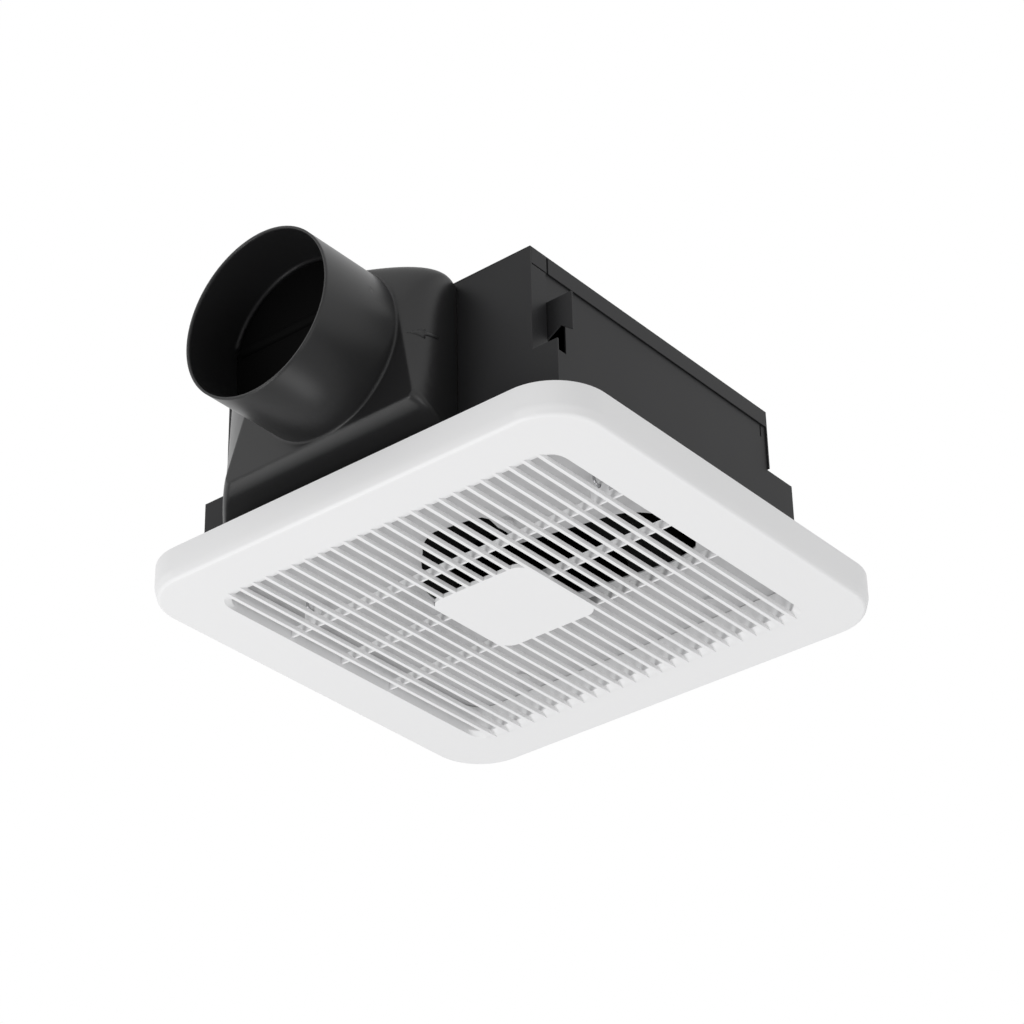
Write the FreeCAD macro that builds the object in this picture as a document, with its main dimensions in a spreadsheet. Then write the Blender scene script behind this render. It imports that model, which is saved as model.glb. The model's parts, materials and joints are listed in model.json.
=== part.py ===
import FreeCAD, Part
import math
import os
import re
import Sketcher

# Ceiling ventilation fan, +Z up, millimetres.
# The origin is the centre of the grille on the ceiling plane, and the duct leaves towards -Y.

doc = FreeCAD.newDocument("ceiling_ventilation_fan")
sheet = doc.addObject("Spreadsheet::Sheet", "Sizes")
workings = doc.addObject("Spreadsheet::Sheet", "Workings")
Vector = FreeCAD.Vector

sizes = {
    # grille moulding
    "grille_length": 300.0,
    "grille_width": 289.0,
    "grille_corner": 33.0,
    "grille_depth": 19.5,
    "grille_side": 12.5,
    "grille_taper": 1.8,
    "grille_round": 2.4,
    "grille_wall": 2.2,
    "face_thickness": 2.5,
    "field_length": 232.6,
    "field_width": 216.0,
    "slot_ramp": 6.0,
    "field_corner": 14.0,
    "field_wall": 1.6,
    "field_wall_height": 13.6,
    "slat_count": 24,
    "slat_pitch": 9.32,
    "slat_thickness": 2.2,
    "rib_count": 3,
    "rib_pitch": 41.0,
    "rib_shift": 11.0,
    "rib_thickness": 1.4,
    "rib_height": 5.0,
    "rib_bite": 0.5,
    "centre_length": 65.0,
    "centre_width": 67.0,
    "centre_corner": 8.0,
    "post_inset": 22.0,
    "post_radius": 3.0,
    "seat_gap": 0.3,
    # grille springs
    "spring_across": 200.4,
    "spring_wire": 1.6,
    "spring_foot": 10.0,
    "spring_bend": 3.0,
    "spring_rise": 66.0,
    "spring_angle": 1.5,
    "eyelet_length": 12.0,
    "eyelet_height": 13.0,
    "eyelet_drop": 3.0,
    "wire_clearance": 0.3,
    "grille_travel": 60.0,
    # inlet plate
    "inlet_gap": 2.8,
    "sheet_thickness": 1.0,
    "front_lobe_radius": 34.0,
    "front_lobe_near_x": -28.0,
    "front_lobe_near_y": -14.0,
    "front_lobe_far_x": -15.0,
    "front_lobe_far_y": -37.0,
    "side_lobe_radius": 31.5,
    "side_lobe_near_x": 6.0,
    "side_lobe_near_y": -1.0,
    "side_lobe_far_x": 57.0,
    "side_lobe_far_y": 4.0,
    "spring_slot_width": 2.4,
    "spring_slot_spare": 1.3,
    "ceiling_hole_across": 244.0,
    "ceiling_hole_along": 200.0,
    "ceiling_hole_radius": 2.4,
    # housing of folded sheet
    "housing_half": 108.0,
    "housing_front": 115.0,
    "housing_back": 97.0,
    "housing_height": 108.2,
    "skirt_height": 10.5,
    "skirt_slit": 1.2,
    "strip_width": 12.3,
    "strip_reveal": 0.8,
    "front_ear_length": 16.0,
    "front_ear_height": 43.0,
    "side_ear_length": 22.5,
    "side_ear_height": 69.5,
    "ear_hole_radius": 2.5,
    "front_ear_hole_rise": 9.0,
    "side_ear_hole_rise": 12.0,
    "side_ear_hole_pitch": 22.0,
    "relief_width": 1.0,
    "relief_height": 8.0,
    "relief_inset": 5.0,
    "hanger_length": 16.0,
    "hanger_low": 55.0,
    "hanger_high": 79.0,
    "hanger_notch": 6.0,
    "tab_width": 12.0,
    "tab_length": 12.0,
    "front_tab_across": 178.0,
    "back_tab_across": 134.0,
    "cable_radius": 11.1,
    "cable_rise": 30.0,
    "outlet_low": 18.0,
    # duct adapter
    "adapter_left": 108.0,
    "adapter_right": 58.0,
    "adapter_low": 2.5,
    "adapter_high": 107.5,
    "adapter_crown": 5.4,
    "adapter_lean": 3.9,
    "foot_corner": 4.0,
    "shoulder_depth": 23.0,
    "shoulder_left": 87.5,
    "shoulder_right": 60.6,
    "shoulder_low": 13.0,
    "shoulder_high": 107.0,
    "shoulder_crown": 16.4,
    "shoulder_bend": 9.5,
    "shoulder_lean": 7.9,
    "throat_left": 73.0,
    "throat_right": 58.0,
    "throat_low": 18.5,
    "throat_crown": 48.3,
    "crown_half": 1.9,
    "adapter_depth": 36.0,
    "adapter_wall": 2.0,
    "adapter_flange": 10.0,
    "throat_face": 2.5,
    "collar_offset": 1.8,
    "collar_height": 68.8,
    "collar_radius": 49.3,
    "collar_wall": 2.0,
    "collar_length": 54.0,
    # backdraft damper
    "damper_depth": 35.5,
    "pivot_rise": 10.0,
    "pin_radius": 1.5,
    "pin_clearance": 0.05,
    "pin_bite": 1.0,
    "flap_thickness": 1.6,
    "flap_clearance": 1.0,
    "flap_barrel": 3.2,
    "barrel_inset": 4.0,
    "stop_width": 2.0,
    "stop_thickness": 2.0,
    "stop_gap": 0.3,
    # scroll casing
    "fan_offset": 14.0,
    "fan_forward": 6.0,
    "scroll_wall": 1.5,
    "scroll_height": 88.0,
    "tongue_gap": 6.0,
    "tongue_radius": 6.0,
    "tongue_lead": 4.0,
    "scroll_near": 70.0,
    "scroll_middle": 78.0,
    "scroll_far": 88.0,
    "eye_radius": 48.0,
    "eye_rise": 8.0,
    # impeller
    "wheel_radius": 58.0,
    "wheel_low": 12.0,
    "wheel_high": 70.0,
    "blade_count": 40,
    "blade_depth": 10.0,
    "blade_thickness": 1.0,
    "blade_sweep": 4.0,
    "ring_width": 6.0,
    "ring_height": 3.0,
    "wheel_plate": 2.0,
    "cup_radius": 38.0,
    "cup_depth": 24.0,
    "boss_radius": 8.0,
    "boss_length": 10.0,
    # motor
    "shaft_radius": 3.0,
    "shaft_fit": 0.02,
    "shaft_spare": 1.0,
    "motor_radius": 34.0,
    "motor_wall": 1.5,
    "motor_low": 50.0,
    "motor_high": 85.5,
    "motor_flange": 46.0,
    "flange_thickness": 1.5,
    "bearing_radius": 9.0,
    "bearing_height": 5.0,
    "bearing_wall": 2.0,
    "stator_inner": 20.0,
    "stator_low": 59.0,
    "stator_high": 77.0,
    "air_gap": 0.8,
    "grommet_circle": 40.0,
    "grommet_radius": 7.2,
    "grommet_neck": 5.0,
    "grommet_collar": 2.5,
    "motor_hole": 48.0,
    "bracket_radius": 57.0,
    "bracket_thickness": 1.5,
    "bracket_screw_circle": 52.5,
    "nut_radius": 5.0,
    "nut_height": 3.0,
    # screws
    "screw_radius": 2.0,
    "screw_head": 3.8,
    "screw_head_height": 2.0,
    "screw_length": 5.0,
    "blower_screw_count": 3,
    "blower_screw_circle": 60.0,
    "blower_screw_angle": 51.5,
    "overshoot": 1.0,
    # wiring
    "box_length": 25.0,
    "box_width": 35.0,
    "box_low": 3.0,
    "box_high": 58.0,
    "box_wall": 1.0,
    "ground_drop": 12.0,
    "socket_length": 16.0,
    "socket_height": 12.0,
    "socket_depth": 6.0,
    "socket_rise": 22.0,
    "plug_depth": 9.0,
    "plug_inset": 1.0,
    "board_length": 38.0,
    "board_height": 50.0,
    "board_thickness": 1.6,
    "board_low": 12.0,
    "board_inset": 3.0,
    "standoff_length": 4.5,
    "standoff_radius": 2.5,
    "standoff_inset": 4.0,
    "capacitor_radius": 8.0,
    "capacitor_length": 20.0,
}

for row, (name, value) in enumerate(sizes.items(), start=1):
    sheet.set(f"A{row}", name)
    sheet.set(f"B{row}", str(value))
    sheet.setAlias(f"B{row}", name)
doc.recompute()


def formula(text):
    # Every word in a size formula is a cell of the sheet.
    return re.sub(r"[a-z][a-z_]*", lambda word: "Sizes." + word.group(0), text)


def number(text):
    # Work a size formula out in a sheet of workings.
    workings.set("A1", "=" + formula(text))
    workings.recompute()
    return float(workings.get("A1"))


nodes = []


def node(piece, name):
    piece.Label = name
    nodes.append(piece)
    return piece


# Primitives and booleans bound to the sheet

turn_to = {
    "X": FreeCAD.Rotation(Vector(0, 1, 0), 90),
    "Y": FreeCAD.Rotation(Vector(1, 0, 0), -90),
    "Z": FreeCAD.Rotation(),
}


def place(piece, start):
    for axis, text in zip("xyz", start):
        piece.setExpression(f"Placement.Base.{axis}", formula(text))


def block(name, x_span, y_span, z_span):
    box = doc.addObject("Part::Box", name)
    for side, (low, high) in zip(("Length", "Width", "Height"), (x_span, y_span, z_span)):
        box.setExpression(side, formula(f"({high}) - ({low})"))
    place(box, (x_span[0], y_span[0], z_span[0]))
    return box


def rod(name, radius, start, length, along="Z"):
    bar = doc.addObject("Part::Cylinder", name)
    bar.setExpression("Radius", formula(radius))
    bar.setExpression("Height", formula(length))
    bar.Placement = FreeCAD.Placement(Vector(), turn_to[along])
    place(bar, start)
    return bar


def fuse(name, *shapes):
    union = doc.addObject("Part::MultiFuse", name)
    union.Shapes = list(shapes)
    union.Refine = True
    return union


def cut(name, base, *tools):
    result = doc.addObject("Part::Cut", name)
    result.Base = base
    result.Tool = tools[0] if len(tools) == 1 else fuse(name + "_tools", *tools)
    return result


def common(name, first, second):
    result = doc.addObject("Part::Common", name)
    result.Base = first
    result.Tool = second
    return result


def group(name, *shapes):
    bundle = doc.addObject("Part::Compound", name)
    bundle.Links = list(shapes)
    return bundle


def tube(name, outer, inner, start, length, along="Z"):
    shell = rod(name + "_outside", outer, start, length, along)
    bore = rod(name + "_bore", inner, start, length, along)
    return cut(name, shell, bore)


# Sketches bound to the sheet


def new_body(name):
    return node(doc.addObject("PartDesign::Body", name), name)


def sketch_in(body, role, name, at=("0", "0", "0")):
    plane = next(item for item in body.Origin.OriginFeatures if item.Role == role)
    sketch = body.newObject("Sketcher::SketchObject", name)
    sketch.AttachmentSupport = [(plane, "")]
    sketch.MapMode = "FlatFace"
    for axis, text in zip("xyz", at):
        sketch.setExpression(f"AttachmentOffset.Base.{axis}", formula(text))
    return sketch


def bind(sketch, text, kind, *items):
    index = sketch.addConstraint(Sketcher.Constraint(kind, *items, number(text)))
    sketch.setExpression(f"Constraints[{index}]", formula(text))


def rectangle(sketch, x_span, y_span):
    left, right = number(x_span[0]), number(x_span[1])
    low, high = number(y_span[0]), number(y_span[1])
    corners = [Vector(left, low), Vector(right, low), Vector(right, high), Vector(left, high)]
    first = sketch.GeometryCount
    for index in range(4):
        sketch.addGeometry(Part.LineSegment(corners[index], corners[(index + 1) % 4]), False)
    for index in range(4):
        following = first + (index + 1) % 4
        sketch.addConstraint(Sketcher.Constraint("Coincident", first + index, 2, following, 1))
        sketch.addConstraint(Sketcher.Constraint(("Horizontal", "Vertical")[index % 2], first + index))
    bind(sketch, x_span[0], "DistanceX", -1, 1, first, 1)
    bind(sketch, x_span[1], "DistanceX", -1, 1, first + 2, 1)
    bind(sketch, y_span[0], "DistanceY", -1, 1, first, 1)
    bind(sketch, y_span[1], "DistanceY", -1, 1, first + 2, 1)


def rounded(sketch, x_span, y_span, radius):
    left, right = number(x_span[0]), number(x_span[1])
    low, high = number(y_span[0]), number(y_span[1])
    bend = number(radius)
    centres = [
        (right - bend, low + bend),
        (right - bend, high - bend),
        (left + bend, high - bend),
        (left + bend, low + bend),
    ]
    runs = [
        (Vector(left + bend, low), Vector(right - bend, low)),
        (Vector(right, low + bend), Vector(right, high - bend)),
        (Vector(right - bend, high), Vector(left + bend, high)),
        (Vector(left, high - bend), Vector(left, low + bend)),
    ]
    for index in range(4):
        sketch.addGeometry(Part.LineSegment(*runs[index]), False)
        circle = Part.Circle(Vector(*centres[index]), Vector(0, 0, 1), bend)
        begin = math.pi / 2 * (index - 1)
        sketch.addGeometry(Part.ArcOfCircle(circle, begin, begin + math.pi / 2), False)
    for index in range(8):
        sketch.addConstraint(Sketcher.Constraint("Tangent", index, 2, (index + 1) % 8, 1))
    for index in range(4):
        sketch.addConstraint(Sketcher.Constraint(("Horizontal", "Vertical")[index % 2], 2 * index))
    for index in (3, 5, 7):
        sketch.addConstraint(Sketcher.Constraint("Equal", 1, index))
    bind(sketch, radius, "Radius", 1)
    bind(sketch, x_span[0], "DistanceX", -1, 1, 6, 1)
    bind(sketch, x_span[1], "DistanceX", -1, 1, 2, 1)
    bind(sketch, y_span[0], "DistanceY", -1, 1, 0, 1)
    bind(sketch, y_span[1], "DistanceY", -1, 1, 4, 1)


def circle_at(sketch, x_place, y_place, radius):
    centre = Vector(number(x_place), number(y_place))
    index = sketch.addGeometry(Part.Circle(centre, Vector(0, 0, 1), number(radius)), False)
    bind(sketch, x_place, "DistanceX", -1, 1, index, 3)
    bind(sketch, y_place, "DistanceY", -1, 1, index, 3)
    bind(sketch, radius, "Radius", index)


def profile(sketch, points):
    # A closed outline of straight runs, each point given as a pair of formulas.
    places = [Vector(number(across), number(up)) for across, up in points]
    count = len(places)
    for index in range(count):
        sketch.addGeometry(Part.LineSegment(places[index], places[(index + 1) % count]), False)
    for index in range(count):
        sketch.addConstraint(Sketcher.Constraint("Coincident", index, 2, (index + 1) % count, 1))
    for index, (across, up) in enumerate(points):
        bind(sketch, across, "DistanceX", -1, 1, index, 1)
        bind(sketch, up, "DistanceY", -1, 1, index, 1)


def hull_outline(sketch, corners):
    # A closed outline drawn round circles, each given as its centre's two places and its radius.
    first = sketch.GeometryCount
    count = len(corners)
    centres = [Vector(number(across), number(up)) for across, up, radius in corners]
    bends = [number(radius) for across, up, radius in corners]
    outward = []
    for index in range(count):
        following = (index + 1) % count
        gap = centres[following] - centres[index]
        lean = math.acos((bends[index] - bends[following]) / gap.Length)
        outward.append(math.atan2(gap.y, gap.x) - lean)
    for index in range(count):
        following = (index + 1) % count
        normal = Vector(math.cos(outward[index]), math.sin(outward[index]))
        ends = [centres[corner] + normal * bends[corner] for corner in (index, following)]
        sketch.addGeometry(Part.LineSegment(*ends), False)
        circle = Part.Circle(centres[following], Vector(0, 0, 1), bends[following])
        sketch.addGeometry(Part.ArcOfCircle(circle, outward[index], outward[following]), False)
    runs = 2 * count
    for index in range(runs):
        sketch.addConstraint(
            Sketcher.Constraint("Tangent", first + index, 2, first + (index + 1) % runs, 1))
    for index in range(count):
        arc = first + 2 * index + 1
        across, up, radius = corners[(index + 1) % count]
        bind(sketch, radius, "Radius", arc)
        bind(sketch, across, "DistanceX", -1, 1, arc, 3)
        bind(sketch, up, "DistanceY", -1, 1, arc, 3)


def pad(body, sketch, name, length, reverse=False):
    feature = body.newObject("PartDesign::Pad", name)
    feature.Profile = sketch
    feature.setExpression("Length", formula(length))
    feature.Reversed = reverse
    return feature


def pocket(body, sketch, name, length, reverse=False):
    feature = body.newObject("PartDesign::Pocket", name)
    feature.Profile = sketch
    feature.setExpression("Length", formula(length))
    feature.Reversed = reverse
    return feature


def row_of(body, feature, sketch, name, axis, length, count):
    pattern = body.newObject("PartDesign::LinearPattern", name)
    pattern.Originals = [feature]
    pattern.Direction = (sketch, [axis])
    pattern.setExpression("Length", formula(length))
    pattern.setExpression("Occurrences", formula(count))
    body.Tip = pattern
    return pattern


def ring_of(body, feature, sketch, name, count):
    pattern = body.newObject("PartDesign::PolarPattern", name)
    pattern.Originals = [feature]
    pattern.Axis = (sketch, ["N_Axis"])
    pattern.Angle = 360
    pattern.setExpression("Occurrences", formula(count))
    body.Tip = pattern
    return pattern


def turned(name, points, at):
    # A piece turned about its own upright axis from a half profile.
    body = new_body(name)
    outline = sketch_in(body, "XZ_Plane", name + "_profile")
    profile(outline, points)
    feature = body.newObject("PartDesign::Revolution", name + "_turned")
    feature.Profile = outline
    feature.ReferenceAxis = (outline, ["V_Axis"])
    feature.Angle = 360
    place(body, at)
    return body


def screw(name, start, along="Z", flip=False, length="screw_length", radius="screw_radius"):
    # The start is the seat under the head; the shank runs along the axis, or against it when flipped.
    shank_start = list(start)
    head_start = list(start)
    axis = "XYZ".index(along)
    if flip:
        shank_start[axis] = f"{start[axis]} - ({length})"
    else:
        head_start[axis] = f"{start[axis]} - screw_head_height"
    shank = rod(name + "_shank", radius, shank_start, length, along)
    head = rod(name + "_head", "screw_head", head_start, "screw_head_height", along)
    return fuse(name, shank, head)


def half(text, sign):
    return f"{sign} * ({text}) / 2"


both_sides = (("left", "-1"), ("right", "1"))
fan_x = "fan_offset"
fan_y = "fan_forward"

# Grille: rim with tapered edge, louvre field, ribs, blank centre plate, eyelets and posts

grille = new_body("grille")
face_back = "(face_thickness - grille_depth)"


def grille_outline(name, height, inset, corner="grille_corner"):
    sketch = sketch_in(grille, "XY_Plane", name, ("0", "0", height))
    spans = [
        (f"-{size} / 2 + {inset}", f"{size} / 2 - {inset}")
        for size in ("grille_length", "grille_width")
    ]
    rounded(sketch, spans[0], spans[1], f"{corner} - {inset}")
    return sketch


rim_outline = grille_outline("rim_outline", "0", "0")
pad(grille, rim_outline, "rim", "grille_side", True)
taper = grille.newObject("PartDesign::AdditiveLoft", "rim_taper")
taper.Profile = grille_outline("taper_top", "-grille_side", "0")
taper.Sections = [grille_outline("taper_foot", "-grille_depth", "grille_taper")]
taper.Ruled = True
doc.recompute()
face_edges = [
    f"Edge{index}"
    for index, edge in enumerate(taper.Shape.Edges, start=1)
    if edge.BoundBox.ZMax < taper.Shape.BoundBox.ZMin + number("grille_round")
]
softened = grille.newObject("PartDesign::Fillet", "face_round")
softened.Base = (taper, face_edges)
softened.setExpression("Radius", "Sizes.grille_round")
hollow = grille_outline("hollow_outline", "0", "grille_wall")
pocket(grille, hollow, "hollow", "grille_depth - face_thickness")


def field_outline(name, height, ramp="0", wall="0"):
    # The opening of the louvre field, longer at the face by the ramps at the slots' ends.
    sketch = sketch_in(grille, "XY_Plane", name, ("0", "0", height))
    across = f"(field_length / 2 + {wall})"
    reach = f"(field_width / 2 + {ramp} + {wall})"
    rounded(sketch, (f"-{across}", across), (f"-{reach}", reach), f"field_corner + {wall}")
    return sketch


wall_outside = field_outline("field_wall_outside", face_back, wall="field_wall")
pad(grille, wall_outside, "field_wall_block", "field_wall_height")
wall_inside = field_outline("field_wall_inside", face_back)
pocket(grille, wall_inside, "field_wall_hollow", "field_wall_height", True)
field = grille.newObject("PartDesign::SubtractiveLoft", "field")
field.Profile = field_outline("field_back", face_back)
field.Sections = [field_outline("field_mouth", "-grille_depth", ramp="slot_ramp")]
field.Ruled = True

slat_sketch = sketch_in(grille, "XY_Plane", "slat_outline", ("0", "0", "-grille_depth"))
slat_start = "-slat_pitch * (slat_count - 1) / 2"
slat_end = "(field_width / 2 + slot_ramp + face_thickness)"
rectangle(
    slat_sketch,
    (f"{slat_start} - slat_thickness / 2", f"{slat_start} + slat_thickness / 2"),
    (f"-{slat_end}", slat_end),
)
slat = pad(grille, slat_sketch, "slat", "face_thickness")
doc.recompute()
row_of(grille, slat, slat_sketch, "slats", "H_Axis", "slat_pitch * (slat_count - 1)", "slat_count")

rib_sketch = sketch_in(grille, "XY_Plane", "rib_outline", ("0", "0", f"{face_back} - rib_bite"))
rib_start = "-rib_pitch * (rib_count - 1) / 2 - rib_shift"
rib_end = "(field_length / 2 + face_thickness)"
rectangle(
    rib_sketch,
    (f"-{rib_end}", rib_end),
    (f"{rib_start} - rib_thickness / 2", f"{rib_start} + rib_thickness / 2"),
)
rib = pad(grille, rib_sketch, "rib", "rib_height + rib_bite")
doc.recompute()
row_of(grille, rib, rib_sketch, "ribs", "V_Axis", "rib_pitch * (rib_count - 1)", "rib_count")

centre = sketch_in(grille, "XY_Plane", "centre_plate_outline", ("0", "0", "-grille_depth"))
rounded(
    centre,
    ("-centre_length / 2", "centre_length / 2"),
    ("-centre_width / 2", "centre_width / 2"),
    "centre_corner",
)
pad(grille, centre, "centre_plate", "face_thickness")

# The springs hang on the rib nearest the duct.
spring_y = f"({rib_start})"
eyelet_top = f"{face_back} + eyelet_height"
for side, sign in both_sides:
    middle = half("spring_across", sign)
    eyelet = sketch_in(grille, "XZ_Plane", f"eyelet_{side}", ("0", "0", f"-{spring_y} - rib_thickness / 2"))
    eyelet_x = (f"{middle} - eyelet_length / 2", f"{middle} + eyelet_length / 2")
    rectangle(eyelet, eyelet_x, (face_back, eyelet_top))
    pad(grille, eyelet, f"eyelet_{side}_pad", "rib_thickness")
    hole = sketch_in(grille, "XZ_Plane", f"eyelet_hole_{side}", ("0", "0", f"-{spring_y} - rib_thickness"))
    circle_at(hole, middle, f"{eyelet_top} - eyelet_drop", "spring_wire / 2 + wire_clearance")
    pocket(grille, hole, f"eyelet_{side}_hole", "2 * rib_thickness", True)

posts = sketch_in(grille, "XY_Plane", "posts_outline", ("0", "0", face_back))
for across in ("-1", "1"):
    for along in ("-1", "1"):
        circle_at(
            posts,
            half("grille_length - 2 * post_inset", across),
            half("grille_width - 2 * post_inset", along),
            "post_radius",
        )
pad(grille, posts, "posts", "grille_depth - face_thickness - sheet_thickness - seat_gap")

# Grille springs: one bent wire each, through the eyelet and up through the plate's slot


def spring_wire_path(middle):
    bend = number("spring_bend")
    lean = math.radians(number("spring_angle"))
    foot_height = number(f"{eyelet_top} - eyelet_drop")
    half_foot = number("spring_foot") / 2
    turn = math.pi / 2 - lean
    back = bend * math.tan(turn / 2)
    leg = number("spring_rise")

    def point(along, up):
        return Vector(middle, along + number(spring_y), foot_height + up)

    def leg_point(sign, distance):
        return point(sign * (half_foot + distance * math.sin(lean)), distance * math.cos(lean))

    def bend_point(sign):
        centre = (half_foot - back, bend)
        angle = -math.pi / 2 + turn / 2
        return point(sign * (centre[0] + bend * math.cos(angle)), centre[1] + bend * math.sin(angle))

    foot = [point(-half_foot + back, 0), point(half_foot - back, 0)]
    edges = [
        Part.LineSegment(leg_point(-1, leg), leg_point(-1, back)).toShape(),
        Part.Arc(leg_point(-1, back), bend_point(-1), foot[0]).toShape(),
        Part.LineSegment(foot[0], foot[1]).toShape(),
        Part.Arc(foot[1], bend_point(1), leg_point(1, back)).toShape(),
        Part.LineSegment(leg_point(1, back), leg_point(1, leg)).toShape(),
    ]
    return Part.Wire(edges)


for side, sign in both_sides:
    path = spring_wire_path(number(half("spring_across", sign)))
    start = path.Edges[0].firstVertex().Point
    heading = path.Edges[0].tangentAt(path.Edges[0].FirstParameter)
    section = Part.Wire(Part.makeCircle(number("spring_wire") / 2, start, heading))
    spring = node(doc.addObject("Part::Feature", f"spring_{side}"), f"grille_spring_{side}")
    spring.Shape = path.makePipeShell([section], True, False)

# Inlet plate: flat sheet under the housing, opened by one wide lobe to the duct and one to the side

plate_low = "-sheet_thickness"
inlet_plate = new_body("inlet_plate")
plate_outline = sketch_in(inlet_plate, "XY_Plane", "plate_outline", ("0", "0", plate_low))
plate_margin = "(grille_wall + inlet_gap)"
rounded(
    plate_outline,
    (f"-grille_length / 2 + {plate_margin}", f"grille_length / 2 - {plate_margin}"),
    (f"-grille_width / 2 + {plate_margin}", f"grille_width / 2 - {plate_margin}"),
    f"grille_corner - {plate_margin}",
)
pad(inlet_plate, plate_outline, "plate", "sheet_thickness")
for lobe in ("front_lobe", "side_lobe"):
    opening = sketch_in(inlet_plate, "XY_Plane", f"{lobe}_outline")
    hull_outline(opening, [
        (f"{fan_x} + {lobe}_{end}_x", f"{fan_y} + {lobe}_{end}_y", f"{lobe}_radius")
        for end in ("near", "far")
    ])
    pocket(inlet_plate, opening, lobe, "sheet_thickness")

slot_half = number("spring_foot / 2 + spring_slot_spare") + (
    number("grille_travel + eyelet_drop + grille_depth") * math.tan(math.radians(number("spring_angle")))
)
sheet_holes = sketch_in(inlet_plate, "XY_Plane", "plate_holes")
for side, sign in both_sides:
    middle = half("spring_across", sign)
    rectangle(
        sheet_holes,
        (f"{middle} - spring_slot_width / 2", f"{middle} + spring_slot_width / 2"),
        (f"{spring_y} - {slot_half}", f"{spring_y} + {slot_half}"),
    )
for across in ("-1", "1"):
    for along in ("-1", "1"):
        circle_at(
            sheet_holes,
            half("ceiling_hole_across", across),
            half("ceiling_hole_along", along),
            "ceiling_hole_radius",
        )
tab_middle = "sheet_thickness + tab_length / 2"
front_screw_places = [
    (half("front_tab_across", across), f"-housing_front + {tab_middle}") for across in ("-1", "1")
]
back_screw_places = [
    (half("back_tab_across", across), f"housing_back - ({tab_middle})") for across in ("-1", "1")
]
plate_screw_places = front_screw_places + back_screw_places
for spot in plate_screw_places:
    circle_at(sheet_holes, spot[0], spot[1], "screw_radius")
blower_spots = []
for index in range(int(number("blower_screw_count"))):
    angle = math.radians(number("blower_screw_angle") + 360 * index / number("blower_screw_count"))
    blower_spots.append((
        f"{fan_x} + blower_screw_circle * ({math.cos(angle):.6f})",
        f"{fan_y} + blower_screw_circle * ({math.sin(angle):.6f})",
    ))
for spot in blower_spots:
    circle_at(sheet_holes, spot[0], spot[1], "screw_radius")
pocket(inlet_plate, sheet_holes, "plate_holes_cut", "sheet_thickness")

node(group("plate_screw_group", *(
    screw(f"plate_screw_{index}", (spot[0], spot[1], plate_low))
    for index, spot in enumerate(plate_screw_places)
)), "plate_screws")
node(group("blower_screw_group", *(
    screw(f"blower_screw_{index}", (spot[0], spot[1], plate_low))
    for index, spot in enumerate(blower_spots)
)), "blower_screws")

# Housing: a wrapper of top, skirts and back wall, and a duct wall with corner strips and ears

front_wall = ("-housing_front", "-housing_front + sheet_thickness")
back_wall = ("housing_back - sheet_thickness", "housing_back")
top_sheet = ("housing_height - sheet_thickness", "housing_height")
full_width = ("-housing_half", "housing_half")
skirt_low = "housing_height - skirt_height"
outlet_x = (
    "fan_offset + tongue_lead + scroll_near - scroll_middle - scroll_far",
    "fan_offset + tongue_lead - tongue_radius",
)
through_front = (f"{front_wall[0]} - overshoot", f"{front_wall[1]} + overshoot")
through_length = "sheet_thickness + 2 * overshoot"
box_middle = "housing_half - 2 * sheet_thickness - box_length / 2"
wrapper_sheets = [
    block("top", full_width, ("-housing_front", "housing_back"), top_sheet),
    block("back_wall", full_width, back_wall, ("0", "housing_height")),
]
wrapper_cuts = [
    rod("cable_hole", "cable_radius", (box_middle, f"{back_wall[0]} - overshoot", "cable_rise"),
        through_length, "Y"),
]
duct_sheets = [block("duct_sheet", full_width, front_wall, ("0", top_sheet[0]))]
duct_cuts = [block("outlet", outlet_x, through_front, ("outlet_low", "scroll_height"))]
for side, sign in both_sides:
    edge = f"{sign} * housing_half"
    inner_edge = f"{sign} * (housing_half - sheet_thickness)"
    sheet_x = (inner_edge, edge) if side == "right" else (edge, inner_edge)
    ear_tip = f"{sign} * (housing_half + front_ear_length)"
    ear_x = (edge, ear_tip) if side == "right" else (ear_tip, edge)
    wrapper_sheets.append(block(
        f"skirt_{side}", sheet_x, (front_wall[1], "housing_back"), (skirt_low, "housing_height")))
    duct_sheets.append(block(
        f"front_strip_{side}", sheet_x, ("-housing_front", "-housing_front + strip_width"),
        ("front_ear_height + strip_reveal", f"{skirt_low} - strip_reveal")))
    duct_sheets.append(block(f"front_ear_{side}", ear_x, front_wall, ("0", "front_ear_height")))
    wrapper_cuts.append(block(
        f"skirt_slit_{side}", sheet_x,
        ("-housing_front + strip_width + skirt_slit", "-housing_front + strip_width + 2 * skirt_slit"),
        (skirt_low, "housing_height - sheet_thickness")))
    lap_edge = f"{sign} * (housing_half - 2 * sheet_thickness)"
    wrapper_cuts.append(block(
        f"ear_passage_{side}", (lap_edge, edge) if side == "right" else (edge, lap_edge), back_wall,
        ("0", "side_ear_height + strip_reveal")))
    duct_cuts.append(rod(
        f"front_ear_hole_{side}", "ear_hole_radius",
        (f"{sign} * (housing_half + front_ear_length / 2)", through_front[0], "front_ear_hole_rise"),
        through_length, "Y"))
    tab_reach = "sheet_thickness + tab_length"
    for sheets, wall, tab_y in (
        (duct_sheets, "front", ("-housing_front", f"-housing_front + {tab_reach}")),
        (wrapper_sheets, "back", (f"housing_back - ({tab_reach})", "housing_back")),
    ):
        middle = half(f"{wall}_tab_across", sign)
        tab_x = (f"{middle} - tab_width / 2", f"{middle} + tab_width / 2")
        sheets.append(block(f"{wall}_tab_{side}", tab_x, tab_y, ("0", "sheet_thickness")))
for cuts, wall, spots in (
    (duct_cuts, "front", front_screw_places),
    (wrapper_cuts, "back", back_screw_places),
):
    for index, spot in enumerate(spots):
        hole_start = (spot[0], spot[1], "-overshoot")
        cuts.append(rod(f"{wall}_tab_hole_{index}", "screw_radius", hole_start, through_length))
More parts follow.
